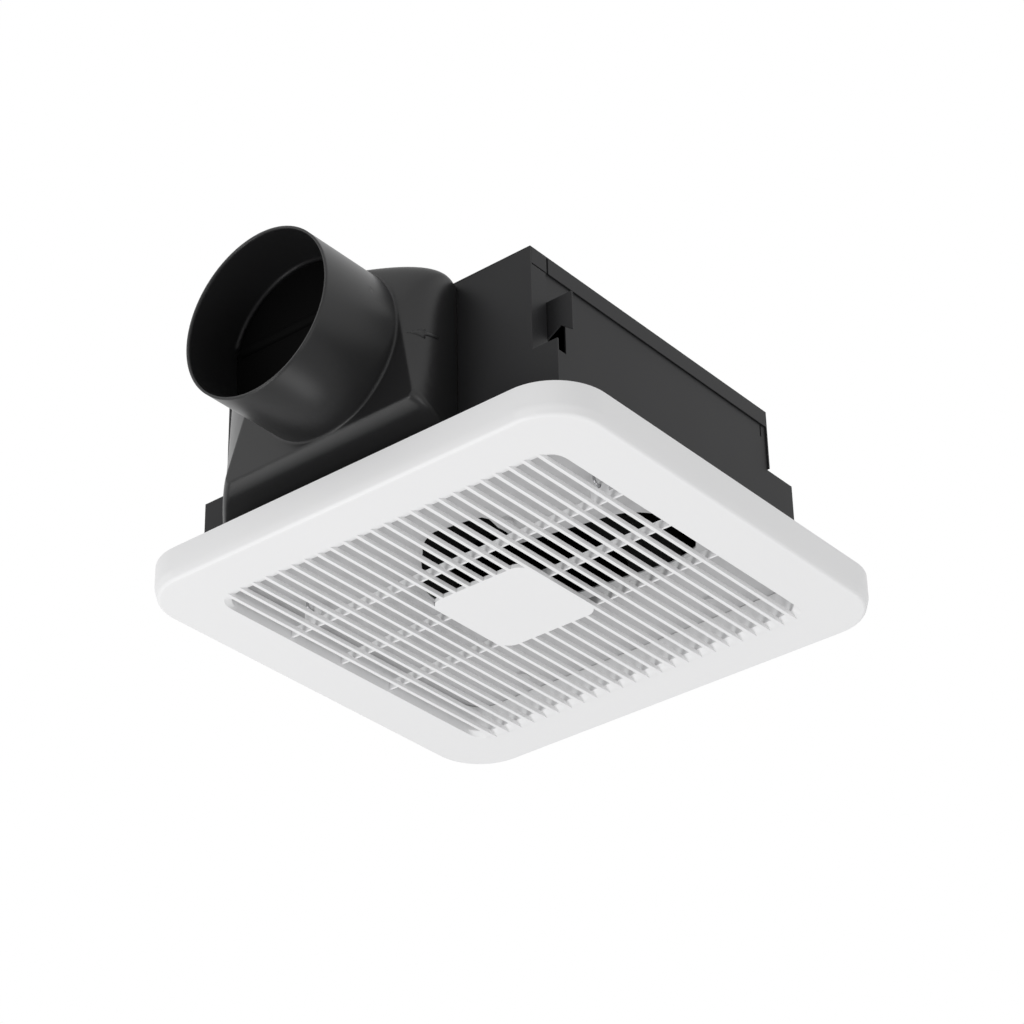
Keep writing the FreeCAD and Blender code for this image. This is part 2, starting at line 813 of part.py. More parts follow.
adapter_screw_places = (
    ("-adapter_left + adapter_flange / 2 + adapter_wall", "(adapter_low + adapter_high) / 2"),
    ("adapter_right - adapter_flange / 2 - adapter_wall / 2", "(adapter_low + adapter_high) / 2"),
    ("(adapter_right - adapter_left) / 2", "adapter_high - adapter_flange / 2 - adapter_wall / 2"),
)
for index, spot in enumerate(adapter_screw_places):
    duct_cuts.append(rod(f"duct_wall_hole_{index}", "screw_radius", (spot[0], through_front[0], spot[1]),
                         through_length, "Y"))
node(cut("wrapper", fuse("wrapper_sheet", *wrapper_sheets), *wrapper_cuts), "housing_wrapper")
node(cut("duct_wall_cut", fuse("duct_wall_sheet", *duct_sheets), *duct_cuts), "duct_wall")

# Side walls: flat sheets inside the strips, stepped into a rear ear, with a hanger tab bent outwards
# The right tab is by the duct and the left one is at the back, so the pair holds the housing cornerwise.

hanger_places = {
    "left": (
        "housing_back - strip_width - strip_reveal - hanger_length",
        "hanger_length - sheet_thickness",
        "0",
    ),
    "right": ("-housing_front + strip_width + strip_reveal", "0", "sheet_thickness"),
}
for side, sign in both_sides:
    wall = new_body(f"side_wall_{side}")
    wall_plane = f"{sign} * (housing_half - sheet_thickness)"
    outline = sketch_in(wall, "YZ_Plane", f"side_wall_{side}_outline", ("0", "0", wall_plane))
    wall_front = "-housing_front + sheet_thickness"
    wall_back = "housing_back - sheet_thickness"
    ear_back = "housing_back + side_ear_length"
    profile(outline, [
        (wall_front, "0"),
        (ear_back, "0"),
        (ear_back, "side_ear_height"),
        (wall_back, "side_ear_height"),
        (wall_back, "housing_height - sheet_thickness"),
        (wall_front, "housing_height - sheet_thickness"),
    ])
    pad(wall, outline, f"side_wall_{side}_sheet", "sheet_thickness", side == "right")
    hanger_start, tab_step, window_step = hanger_places[side]
    window_start = f"{hanger_start} + {window_step}"
    window_end = f"{window_start} + hanger_length - sheet_thickness"
    cuts = sketch_in(wall, "YZ_Plane", f"side_wall_{side}_openings", ("0", "0", f"{sign} * housing_half"))
    rectangle(cuts, (window_start, window_end), ("hanger_low", "hanger_high"))
    relief_end = "housing_back - relief_inset"
    relief_y = (f"{relief_end} - relief_width", relief_end)
    rectangle(cuts, relief_y, (f"{skirt_low} - relief_height", skirt_low))
    ear_middle = "housing_back + side_ear_length / 2"
    for step in ("0", "side_ear_hole_pitch"):
        circle_at(cuts, ear_middle, f"side_ear_hole_rise + {step}", "ear_hole_radius")
    pocket(wall, cuts, f"side_wall_{side}_cuts", "3 * sheet_thickness", side == "left")
    tab_plane = f"-({hanger_start} + {tab_step} + sheet_thickness)"
    tab = sketch_in(wall, "XZ_Plane", f"hanger_tab_{side}", ("0", "0", tab_plane))
    root = f"{sign} * (housing_half - 2 * sheet_thickness)"
    tip = f"{sign} * (housing_half + hanger_length)"
    notch = f"{sign} * (housing_half + hanger_length / 2)"
    profile(tab, [
        (root, "hanger_low"),
        (notch, "hanger_low + hanger_notch"),
        (tip, "hanger_low"),
        (tip, "hanger_high"),
        (root, "hanger_high"),
    ])
    pad(wall, tab, f"hanger_tab_{side}_pad", "sheet_thickness")

# Duct adapter: lofted transition, face plate, round collar and the damper's stops

adapter_back = "-housing_front"
adapter_face = "(-housing_front - adapter_depth)"
collar_mouth = "(-housing_front - adapter_depth - collar_length)"
damper_y = "(-housing_front - adapter_depth - collar_length + damper_depth)"
collar_x = "-collar_offset"


def hull_section(name, y_place, corners, inset):
    # An upright section across the duct, drawn round four corner circles.
    sketch = doc.addObject("Sketcher::SketchObject", name)
    sketch.Placement = FreeCAD.Placement(Vector(0, 0, 0), FreeCAD.Rotation(Vector(1, 0, 0), 90))
    sketch.setExpression("Placement.Base.y", formula(y_place))
    hull_outline(sketch, [(across, up, f"{radius} - {inset}") for across, up, radius in corners])
    return sketch


def feet(left, right, low):
    height = f"{low} + foot_corner"
    return [
        (f"-{left} + foot_corner", height, "foot_corner"),
        (f"{right} - foot_corner", height, "foot_corner"),
    ]


def shoulders(left, right, high, left_bend, right_bend, lean):
    # The left side leans in towards its top.
    return [
        (f"{right} - {right_bend}", f"{high} - {right_bend}", right_bend),
        (f"-{left} + {left_bend} + {lean}", f"{high} - {left_bend}", left_bend),
    ]


base_corners = feet("adapter_left", "adapter_right", "adapter_low") + shoulders(
    "adapter_left", "adapter_right", "adapter_high", "adapter_crown", "adapter_crown", "adapter_lean")
shoulder_corners = feet("shoulder_left", "shoulder_right", "shoulder_low") + shoulders(
    "shoulder_left", "shoulder_right", "shoulder_high", "shoulder_crown", "shoulder_bend", "shoulder_lean")
throat_corners = feet("throat_left", "throat_right", "throat_low") + [
    (f"{collar_x} + crown_half", "collar_height", "throat_crown"),
    (f"{collar_x} - crown_half", "collar_height", "throat_crown"),
]


def adapter_loft(name, inset, back, face):
    loft = doc.addObject("Part::Loft", name)
    loft.Sections = [
        hull_section(f"{name}_base", back, base_corners, inset),
        hull_section(f"{name}_shoulder", "-housing_front - shoulder_depth", shoulder_corners, inset),
        hull_section(f"{name}_throat", face, throat_corners, inset),
    ]
    loft.Solid = True
    loft.Ruled = False
    return loft


collar_axis = (collar_x, collar_mouth, "collar_height")
adapter_outside = adapter_loft("adapter_outside", "0", adapter_back, adapter_face)
adapter_inside = adapter_loft(
    "adapter_inside", "adapter_wall", f"{adapter_back} - adapter_wall", f"{adapter_face} + throat_face")
collar_outside = rod("collar_outside", "collar_radius", collar_axis, "collar_length", "Y")
collar_bore = rod("collar_bore", "collar_radius - collar_wall",
                  (collar_x, f"{collar_mouth} - overshoot", "collar_height"),
                  "collar_length + throat_face + 2 * overshoot", "Y")
base_window = block(
    "adapter_window",
    ("-adapter_left + adapter_flange + adapter_wall", "adapter_right - adapter_flange"),
    (f"{adapter_back} - 2 * adapter_wall", f"{adapter_back} + overshoot"),
    ("adapter_low + adapter_wall", "adapter_high - adapter_flange"),
)
bore_chord = math.sqrt(number("collar_radius - collar_wall") ** 2 - number("pivot_rise") ** 2)
pin_half = f"{bore_chord:.6f} + pin_bite"
pin_start = (f"{collar_x} - ({pin_half})", damper_y, "collar_height + pivot_rise")
pin_sockets = rod("pin_sockets", "pin_radius", pin_start, f"2 * ({pin_half})", "X")
adapter_screw_holes = [
    rod(f"adapter_hole_{index}", "screw_radius", (spot[0], f"{adapter_back} - 2 * adapter_wall", spot[1]),
        "3 * adapter_wall", "Y")
    for index, spot in enumerate(adapter_screw_places)
]
adapter_shell = cut("adapter_shell", fuse("adapter_blank", adapter_outside, collar_outside), adapter_inside,
                    collar_bore, base_window, pin_sockets, *adapter_screw_holes)


def damper_stop(name, low, z_span):
    # Half a ring inside the collar that the flap closes against.
    start = (collar_x, low, "collar_height")
    bore_radius = "collar_radius - collar_wall"
    ring = tube(name + "_ring", f"{bore_radius} + pin_bite", f"{bore_radius} - stop_width",
                start, "stop_thickness", "Y")
    reach = "collar_radius"
    keep = block(name + "_half", (f"{collar_x} - {reach}", f"{collar_x} + {reach}"),
                 (low, f"{low} + stop_thickness"), z_span)
    return common(name, ring, keep)


pivot_height = "collar_height + pivot_rise"
stop_reach = "(flap_thickness / 2 + stop_gap)"
lower_stop = damper_stop("lower_stop", f"{damper_y} + {stop_reach}",
                         ("collar_height - collar_radius", f"{pivot_height} - flap_barrel - stop_gap"))
upper_stop = damper_stop("upper_stop", f"{damper_y} - {stop_reach} - stop_thickness",
                         (f"{pivot_height} + flap_barrel + stop_gap", "collar_height + collar_radius"))
node(fuse("adapter", adapter_shell, lower_stop, upper_stop), "duct_adapter")
node(rod("pin", "pin_radius", pin_start, f"2 * ({pin_half})", "X"), "damper_pin")

flap_radius = "collar_radius - collar_wall - flap_clearance"
disc_start = (collar_x, f"{damper_y} - flap_thickness / 2", "collar_height")
disc = rod("flap_disc", flap_radius, disc_start, "flap_thickness", "Y")
barrel_half = f"({flap_radius} - barrel_inset)"
barrel = rod("flap_barrel_rod", "flap_barrel", (f"{collar_x} - {barrel_half}", damper_y, pivot_height),
             f"2 * {barrel_half}", "X")
flap_bore_start = (f"{collar_x} - collar_radius", damper_y, pivot_height)
flap_bore = rod("flap_bore", "pin_radius + pin_clearance", flap_bore_start, "2 * collar_radius", "X")
node(cut("flap", fuse("flap_blank", disc, barrel), flap_bore), "damper_flap")

node(group("adapter_screw_group", *(
    screw(f"adapter_screw_{index}", (spot[0], front_wall[1], spot[1]), "Y", True)
    for index, spot in enumerate(adapter_screw_places)
)), "adapter_screws")

# Scroll casing: spiral of three quarter arcs that grows round the impeller and runs out to the duct wall


def scroll_wire(grow):
    centre_x = number("fan_offset + tongue_lead")
    bottom = number("fan_forward - wheel_radius - tongue_gap")
    tongue = number("tongue_radius")
    near, middle, far = (number(name) + grow for name in ("scroll_near", "scroll_middle", "scroll_far"))
    growth = [number("scroll_near - scroll_middle"), number("scroll_middle - scroll_far")]
    front = number(front_wall[1])
    first = Vector(centre_x, bottom + number("scroll_near"))
    second = first + Vector(growth[0], 0)
    third = second + Vector(0, growth[1])
    tongue_centre = Vector(centre_x, bottom - tongue)
    tip = tongue - grow

    def quarter(centre, radius, begin):
        places = [
            centre + Vector(math.cos(begin + step), math.sin(begin + step)) * radius
            for step in (0, math.pi / 4, math.pi / 2)
        ]
        return Part.Arc(*places).toShape()

    right = tongue_centre - Vector(tip, 0)
    left = third - Vector(far, 0)
    tongue_arc = Part.Arc(
        right,
        tongue_centre + Vector(-tip, tip) * math.sqrt(0.5),
        tongue_centre + Vector(0, tip),
    ).toShape()
    edges = [
        Part.LineSegment(Vector(right.x, front), right).toShape(),
        tongue_arc,
        quarter(first, near, -math.pi / 2),
        quarter(second, middle, 0),
        quarter(third, far, math.pi / 2),
        Part.LineSegment(left, Vector(left.x, front)).toShape(),
        Part.LineSegment(Vector(left.x, front), Vector(right.x, front)).toShape(),
    ]
    return Part.Wire(edges)


scroll_top = number("scroll_height")
scroll_skin = number("scroll_wall")
fan_axis = Vector(number(fan_x), number(fan_y))
eye = number("eye_radius")
scroll_outside = Part.Face(scroll_wire(scroll_skin)).extrude(Vector(0, 0, scroll_top + scroll_skin))
cavity = Part.Face(scroll_wire(0)).extrude(Vector(0, 0, scroll_top - scroll_skin))
cavity.translate(Vector(0, 0, scroll_skin))
eye_outside = Part.makeCylinder(eye + scroll_skin, number("eye_rise"), fan_axis)
eye_bore = Part.makeCylinder(eye, number("eye_rise"), fan_axis)
under_top = Vector(0, 0, scroll_top - scroll_skin)
motor_opening = Part.makeCylinder(number("motor_hole"), 3 * scroll_skin, fan_axis + under_top)
scroll = scroll_outside.cut(cavity).fuse(eye_outside).cut(eye_bore).cut(motor_opening)
outlet_sill = Part.makeBox(
    number(f"{outlet_x[1]} - ({outlet_x[0]})"), scroll_skin, number("outlet_low") - scroll_skin,
    Vector(number(outlet_x[0]), number(front_wall[1]), scroll_skin),
)
scroll = scroll.fuse(outlet_sill)
for spot in blower_spots:
    scroll = scroll.cut(Part.makeCylinder(number("screw_radius"), 3 * scroll_skin,
                                          Vector(number(spot[0]), number(spot[1]), -scroll_skin)))
bracket_spots = []
for index in range(3):
    angle = 2 * math.pi * (index + 0.5) / 3
    bracket_spots.append((
        f"{fan_x} + bracket_screw_circle * ({math.cos(angle):.6f})",
        f"{fan_y} + bracket_screw_circle * ({math.sin(angle):.6f})",
    ))
for spot in bracket_spots:
    hole_start = Vector(number(spot[0]), number(spot[1])) + under_top
    scroll = scroll.cut(Part.makeCylinder(number("screw_radius"), 3 * scroll_skin, hole_start))
casing = node(doc.addObject("Part::Feature", "scroll"), "scroll_casing")
casing.Shape = scroll.removeSplitter()

# Impeller: forward-curved blades between a foot ring and a cupped plate with a boss on the shaft

impeller = new_body("impeller")
wheel_profile = sketch_in(impeller, "XZ_Plane", "wheel_profile")
cup_floor = "wheel_high - cup_depth"
bore = "shaft_radius + shaft_fit"
profile(wheel_profile, [
    (bore, f"{cup_floor} - boss_length"),
    ("boss_radius", f"{cup_floor} - boss_length"),
    ("boss_radius", f"{cup_floor} - wheel_plate"),
    ("cup_radius + wheel_plate", f"{cup_floor} - wheel_plate"),
    ("cup_radius + wheel_plate", "wheel_high - wheel_plate"),
    ("wheel_radius", "wheel_high - wheel_plate"),
    ("wheel_radius", "wheel_high"),
    ("cup_radius", "wheel_high"),
    ("cup_radius", cup_floor),
    (bore, cup_floor),
])
wheel = impeller.newObject("PartDesign::Revolution", "wheel_plate_turned")
wheel.Profile = wheel_profile
wheel.ReferenceAxis = (wheel_profile, ["V_Axis"])
wheel.Angle = 360
blade_sketch = sketch_in(impeller, "XY_Plane", "blade_outline", ("0", "0", "wheel_low"))
blade_root = number("wheel_radius - blade_depth")
blade_tip = number("wheel_radius")
sweep = number("blade_sweep")
skin = number("blade_thickness")


def blade_arc(shift):
    ends = [Vector(blade_root, shift), Vector(blade_tip, shift + sweep)]
    bulge = Vector((blade_root + blade_tip) / 2 + sweep / 4, shift + sweep / 4)
    return Part.Arc(ends[0], bulge, ends[1])


blade_faces = [blade_arc(0), blade_arc(skin)]
blade_sketch.addGeometry(blade_faces[0], False)
blade_sketch.addGeometry(blade_faces[1], False)
blade_sketch.addGeometry(Part.LineSegment(Vector(blade_root, 0), Vector(blade_root, skin)), False)
blade_sketch.addGeometry(Part.LineSegment(Vector(blade_tip, sweep), Vector(blade_tip, sweep + skin)), False)
blade = pad(impeller, blade_sketch, "blade", "wheel_high - wheel_low - wheel_plate / 2")
doc.recompute()
ring_of(impeller, blade, blade_sketch, "blades", "blade_count")
ring_sketch = sketch_in(impeller, "XZ_Plane", "foot_ring_profile")
rectangle(
    ring_sketch,
    ("wheel_radius - ring_width", "wheel_radius + blade_thickness"),
    ("wheel_low", "wheel_low + ring_height"),
)
foot_ring = impeller.newObject("PartDesign::Revolution", "foot_ring")
foot_ring.Profile = ring_sketch
foot_ring.ReferenceAxis = (ring_sketch, ["V_Axis"])
foot_ring.Angle = 360
place(impeller, (fan_x, fan_y, "0"))

# Motor: shaft, magnet, bearings, stator, case and end cap on the fan axis

fan_base = (fan_x, fan_y, "0")
shaft_foot = f"{cup_floor} - boss_length - nut_height - shaft_spare"
upper_bearing = "motor_high - flange_thickness - bearing_height"
shaft_length = f"motor_high - flange_thickness - ({shaft_foot})"
node(rod("shaft", "shaft_radius", (fan_x, fan_y, shaft_foot), shaft_length), "motor_shaft")
node(tube("nut", "nut_radius", "shaft_radius + shaft_fit", (fan_x, fan_y, f"{shaft_foot} + shaft_spare"),
          "nut_height"), "impeller_nut")
node(tube("magnet", "stator_inner - air_gap", "shaft_radius + shaft_fit", (fan_x, fan_y, "stator_low"),
          "stator_high - stator_low"), "rotor_magnet")
bearing_foot = "motor_low + motor_wall"
node(tube("bearing_low", "bearing_radius", "shaft_radius + pin_clearance", (fan_x, fan_y, bearing_foot),
          "bearing_height"), "bearing_lower")
node(tube("bearing_high", "bearing_radius", "shaft_radius + pin_clearance", (fan_x, fan_y, upper_bearing),
          "bearing_height"), "bearing_upper")
node(tube("stator", "motor_radius - motor_wall", "stator_inner", (fan_x, fan_y, "stator_low"),
          "stator_high - stator_low"), "stator_core")
motor_case = turned("motor_case", [
    ("shaft_radius + shaft_spare", "motor_low"),
    ("motor_radius", "motor_low"),
    ("motor_radius", "motor_high"),
    ("motor_flange", "motor_high"),
    ("motor_flange", "motor_high + flange_thickness"),
    ("motor_radius - motor_wall", "motor_high + flange_thickness"),
    ("motor_radius - motor_wall", bearing_foot),
    ("bearing_radius + bearing_wall", bearing_foot),
    ("bearing_radius + bearing_wall", f"{bearing_foot} + bearing_height"),
    ("bearing_radius", f"{bearing_foot} + bearing_height"),
    ("bearing_radius", bearing_foot),
    ("shaft_radius + shaft_spare", bearing_foot),
], fan_base)
flange_top = ("0", "0", "motor_high + flange_thickness")
flange_holes = sketch_in(motor_case, "XY_Plane", "flange_holes", flange_top)
grommet_spots = []
for index in range(3):
    angle = 2 * math.pi * index / 3
    grommet_spots.append((
        f"grommet_circle * ({math.cos(angle):.6f})",
        f"grommet_circle * ({math.sin(angle):.6f})",
    ))
for spot in grommet_spots:
    circle_at(flange_holes, spot[0], spot[1], "screw_radius")
pocket(motor_case, flange_holes, "flange_holes_cut", "flange_thickness")
turned("motor_end_cap", [
    ("0", "motor_high"),
    ("motor_radius - motor_wall", "motor_high"),
    ("motor_radius - motor_wall", "motor_high - flange_thickness"),
    ("bearing_radius + bearing_wall", "motor_high - flange_thickness"),
    ("bearing_radius + bearing_wall", upper_bearing),
    ("bearing_radius", upper_bearing),
    ("bearing_radius", "motor_high - flange_thickness"),
    ("0", "motor_high - flange_thickness"),
], fan_base)

# Motor bracket on the scroll's top, with rubber grommets that carry the motor's flange

bracket_low = "scroll_height + scroll_wall"
bracket_high = f"{bracket_low} + bracket_thickness"
grommet_low = "motor_high + flange_thickness"
bracket = new_body("motor_bracket")
bracket_outline = sketch_in(bracket, "XY_Plane", "bracket_outline", ("0", "0", bracket_low))
circle_at(bracket_outline, "0", "0", "bracket_radius")
pad(bracket, bracket_outline, "bracket_disc", "bracket_thickness")
bracket_holes = sketch_in(bracket, "XY_Plane", "bracket_holes", ("0", "0", bracket_high))
circle_at(bracket_holes, "0", "0", "motor_radius - motor_wall")
for spot in grommet_spots:
    circle_at(bracket_holes, spot[0], spot[1], "grommet_neck")
for spot in bracket_spots:
    circle_at(bracket_holes, f"{spot[0]} - {fan_x}", f"{spot[1]} - {fan_y}", "screw_radius")
pocket(bracket, bracket_holes, "bracket_holes_cut", "bracket_thickness")
place(bracket, fan_base)

grommets = []
motor_screws = []
for index, spot in enumerate(grommet_spots):
    x_place, y_place = f"{fan_x} + {spot[0]}", f"{fan_y} + {spot[1]}"
    parts = [
        rod(f"grommet_foot_{index}", "grommet_radius", (x_place, y_place, grommet_low),
            f"{bracket_low} - ({grommet_low})"),
        rod(f"grommet_neck_{index}", "grommet_neck", (x_place, y_place, bracket_low), "bracket_thickness"),
        rod(f"grommet_head_{index}", "grommet_radius", (x_place, y_place, bracket_high), "grommet_collar"),
    ]
    hole = rod(f"grommet_hole_{index}", "screw_radius", (x_place, y_place, grommet_low),
               f"{bracket_high} + grommet_collar - ({grommet_low})")
    grommets.append(cut(f"grommet_{index}", fuse(f"grommet_blank_{index}", *parts), hole))
    screw_seat = f"{bracket_high} + grommet_collar"
    motor_screws.append(screw(f"motor_screw_{index}", (x_place, y_place, screw_seat), "Z", True,
                              f"{screw_seat} - motor_high"))
node(group("grommet_group", *grommets), "motor_grommets")
node(group("motor_screw_group", *motor_screws), "motor_screws")
bracket_grip = "bracket_thickness + scroll_wall"
node(group("bracket_screw_group", *(
    screw(f"bracket_screw_{index}", (spot[0], spot[1], bracket_high), "Z", True, bracket_grip)
    for index, spot in enumerate(bracket_spots)
)), "bracket_screws")

# Wiring box in the back corner, its cover, and the motor's socket and plug

box_right = "housing_half - 2 * sheet_thickness"
box_left = f"{box_right} - box_length"
box_back = "housing_back - sheet_thickness"
box_front = f"{box_back} - box_width"
box_shell = block("box_outside", (box_left, box_right), (box_front, box_back), ("box_low", "box_high"))
box_hollow = block("box_inside", (f"{box_left} + box_wall", f"{box_right} - box_wall"),
                   (f"{box_front} + box_wall", f"{box_back} - box_wall"),
                   ("box_low - overshoot", "box_high - box_wall"))
box_cable = rod("box_cable_hole", "cable_radius", (box_middle, f"{box_back} - 2 * box_wall", "cable_rise"),
                "3 * box_wall", "Y")
ground_height = "box_high - ground_drop"
box_depth_middle = f"{box_front} + box_width / 2"
ground_hole = rod("ground_hole", "screw_radius", (f"{box_left} - overshoot", box_depth_middle, ground_height),
                  "box_wall + 2 * overshoot", "X")
node(cut("box", box_shell, box_hollow, box_cable, ground_hole), "wiring_box")
cover_z = ("box_low - box_wall", "box_low")
cover_plate = block("cover_plate", (box_left, box_right), (box_front, box_back), cover_z)
cover_hole = rod("cover_hole", "screw_radius", (box_middle, box_depth_middle, "0"), "box_low")
node(cut("cover", cover_plate, cover_hole), "wiring_cover")
node(screw("cover_screw", (box_middle, box_depth_middle, "box_low - box_wall")), "wiring_cover_screw")
ground_seat = (f"{box_left} + box_wall", box_depth_middle, ground_height)
node(screw("ground", ground_seat, "X", True, "2 * box_wall"), "ground_screw")
socket_x = (f"{box_middle} - socket_length / 2", f"{box_middle} + socket_length / 2")
socket_z = ("socket_rise", "socket_rise + socket_height")
node(block("socket", socket_x, (f"{box_front} - socket_depth", box_front), socket_z), "motor_socket")
node(block(
    "plug",
    (f"{socket_x[0]} + plug_inset", f"{socket_x[1]} - plug_inset"),
    (f"{box_front} - socket_depth - plug_depth", f"{box_front} - socket_depth"),
    (f"{socket_z[0]} + plug_inset", f"{socket_z[1]} - plug_inset"),
), "motor_plug")

# Control board on stand-offs against the back wall

board_left = "-housing_half + 2 * sheet_thickness + board_inset"
board_back = f"{box_back} - standoff_length"
board_x = (board_left, f"{board_left} + board_length")
board_z = ("board_low", "board_low + board_height")
node(block("board", board_x, (f"{board_back} - board_thickness", board_back), board_z), "control_board")
standoffs = []
for index, across in enumerate((f"{board_x[0]} + standoff_inset", f"{board_x[1]} - standoff_inset")):
    for level, up in enumerate((f"{board_z[0]} + standoff_inset", f"{board_z[1]} - standoff_inset")):
        standoffs.append(rod(f"standoff_{index}_{level}", "standoff_radius", (across, board_back, up),
                             "standoff_length", "Y"))
node(group("standoff_group", *standoffs), "board_standoffs")
capacitor_start = (
    f"{board_left} + board_length / 2",
    f"{board_back} - board_thickness - capacitor_length",
    "board_low + board_height / 2",
)
node(rod("capacitor_can", "capacitor_radius", capacitor_start, "capacitor_length", "Y"), "capacitor")

# Check every object, then write one file for each piece

doc.recompute()
for item in doc.Objects:
    if "Invalid" in item.State or "Error" in item.State:
        raise RuntimeError(f"{item.Name} ({item.Label}) failed: {item.State}")
for piece in nodes:
    if piece.Shape.isNull() or not piece.Shape.isValid():
        raise RuntimeError(f"{piece.Label} has no valid shape")

os.makedirs("parts", exist_ok=True)
for piece in nodes:
    piece.Shape.exportStep(f"parts/{piece.Label}.step")
    print(piece.Label, len(piece.Shape.Solids), round(piece.Shape.Volume, 1))
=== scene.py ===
import json
import math

import bmesh
import bpy
from mathutils import Matrix, Vector
from mathutils.bvhtree import BVHTree


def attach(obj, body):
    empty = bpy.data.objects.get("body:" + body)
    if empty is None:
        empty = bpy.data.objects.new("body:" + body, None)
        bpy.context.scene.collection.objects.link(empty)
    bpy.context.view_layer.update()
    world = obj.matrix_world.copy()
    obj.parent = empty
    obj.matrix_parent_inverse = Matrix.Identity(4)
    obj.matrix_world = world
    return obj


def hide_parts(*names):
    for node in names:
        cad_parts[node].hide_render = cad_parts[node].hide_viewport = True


# Ceiling ventilation fan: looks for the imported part, in metres, +Z up

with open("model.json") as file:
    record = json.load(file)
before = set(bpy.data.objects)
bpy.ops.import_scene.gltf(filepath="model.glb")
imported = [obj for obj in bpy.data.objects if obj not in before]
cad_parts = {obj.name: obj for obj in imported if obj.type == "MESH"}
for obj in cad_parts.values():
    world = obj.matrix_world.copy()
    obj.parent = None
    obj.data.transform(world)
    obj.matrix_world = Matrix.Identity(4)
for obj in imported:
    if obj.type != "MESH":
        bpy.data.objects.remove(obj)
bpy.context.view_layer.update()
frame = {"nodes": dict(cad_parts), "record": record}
nodes = frame["nodes"]
print("frame loaded:", len(nodes), "nodes")

mm = 0.001


# Shader helpers


def newMaterial(name, colour, roughness, metallic=0.0, specular=0.5):
    material = bpy.data.materials.new(name)
    material.use_nodes = True
    material.diffuse_color = (*colour, 1.0)
    shader = material.node_tree.nodes["Principled BSDF"]
    shader.inputs["Base Color"].default_value = (*colour, 1.0)
    shader.inputs["Roughness"].default_value = roughness
    shader.inputs["Metallic"].default_value = metallic
    shader.inputs["Specular IOR Level"].default_value = specular
    return material, material.node_tree, shader


def addNode(tree, kind, **settings):
    made = tree.nodes.new(kind)
    for key, value in settings.items():
        setattr(made, key, value)
    return made


def setInputs(node, **values):
    for key, value in values.items():
        node.inputs[key].default_value = value
    return node


def newGroup(name, inputs, outputs):
    group = bpy.data.node_groups.new(name, "ShaderNodeTree")
    for label, default in inputs:
        socket = group.interface.new_socket(label, in_out="INPUT", socket_type="NodeSocketFloat")
        socket.default_value = default
    for label in outputs:
        group.interface.new_socket(label, in_out="OUTPUT", socket_type="NodeSocketFloat")
    return group, group.nodes.new("NodeGroupInput"), group.nodes.new("NodeGroupOutput")


def placeGroup(tree, group, **values):
    return setInputs(addNode(tree, "ShaderNodeGroup", node_tree=group), **values)


def rangeOf(tree, source, low, high):
    made = addNode(tree, "ShaderNodeMapRange")
    made.inputs["To Min"].default_value = low
    made.inputs["To Max"].default_value = high
    tree.links.new(source, made.inputs["Value"])
    return made.outputs["Result"]


def blendColours(tree, factor, first, second):
    made = addNode(tree, "ShaderNodeMix", data_type="RGBA")
    made.inputs["A"].default_value = (*first, 1.0)
    made.inputs["B"].default_value = (*second, 1.0)
    tree.links.new(factor, made.inputs["Factor"])
    return made.outputs["Result"]


def bumpFrom(tree, shader, height, strength, distance):
    made = setInputs(addNode(tree, "ShaderNodeBump"), Strength=strength, Distance=distance)
    tree.links.new(height, made.inputs["Height"])
    tree.links.new(made.outputs["Normal"], shader.inputs["Normal"])
    return made


# Shared effects: moulded or sprayed grain, zinc spangle and drawn lines


def makeGrainGroup():
    group, inputs, outputs = newGroup(
        "surfaceGrain", [("FineScale", 900.0), ("BroadScale", 9.0)], ["Fine", "Broad"])
    place = addNode(group, "ShaderNodeTexCoord")
    for label, scale, detail in (("Fine", "FineScale", 3.0), ("Broad", "BroadScale", 4.0)):
        noise = setInputs(addNode(group, "ShaderNodeTexNoise"), Detail=detail)
        group.links.new(place.outputs["Object"], noise.inputs["Vector"])
        group.links.new(inputs.outputs[scale], noise.inputs["Scale"])
        group.links.new(noise.outputs["Fac"], outputs.inputs[label])
    return group


def makeSpangleGroup():
    group, inputs, outputs = newGroup("zincSpangle", [("CellScale", 120.0)], ["Cell", "Cloud"])
    place = addNode(group, "ShaderNodeTexCoord")
    cells = addNode(group, "ShaderNodeTexVoronoi")
    group.links.new(place.outputs["Object"], cells.inputs["Vector"])
    group.links.new(inputs.outputs["CellScale"], cells.inputs["Scale"])
    split = addNode(group, "ShaderNodeSeparateColor")
    group.links.new(cells.outputs["Color"], split.inputs["Color"])
    group.links.new(split.outputs["Red"], outputs.inputs["Cell"])
    cloud = setInputs(addNode(group, "ShaderNodeTexNoise"), Scale=25.0, Detail=5.0)
    group.links.new(place.outputs["Object"], cloud.inputs["Vector"])
    group.links.new(cloud.outputs["Fac"], outputs.inputs["Cloud"])
    return group


# The drawn lines run upwards, so the pattern is stretched along Z
drawnStretch = (1.0, 1.0, 0.06)


def makeDrawnGroup():
    group, inputs, outputs = newGroup("drawnLines", [("LineScale", 400.0)], ["Line", "Cloud"])
    place = addNode(group, "ShaderNodeTexCoord")
    squeeze = setInputs(addNode(group, "ShaderNodeMapping"), Scale=drawnStretch)
    group.links.new(place.outputs["Object"], squeeze.inputs["Vector"])
    lines = setInputs(addNode(group, "ShaderNodeTexNoise"), Detail=4.0)
    group.links.new(squeeze.outputs["Vector"], lines.inputs["Vector"])
    group.links.new(inputs.outputs["LineScale"], lines.inputs["Scale"])
    group.links.new(lines.outputs["Fac"], outputs.inputs["Line"])
    cloud = setInputs(addNode(group, "ShaderNodeTexNoise"), Scale=60.0, Detail=3.0)
    group.links.new(place.outputs["Object"], cloud.inputs["Vector"])
    group.links.new(cloud.outputs["Fac"], outputs.inputs["Cloud"])
    return group


surfaceGrain = makeGrainGroup()
zincSpangle = makeSpangleGroup()
drawnLines = makeDrawnGroup()


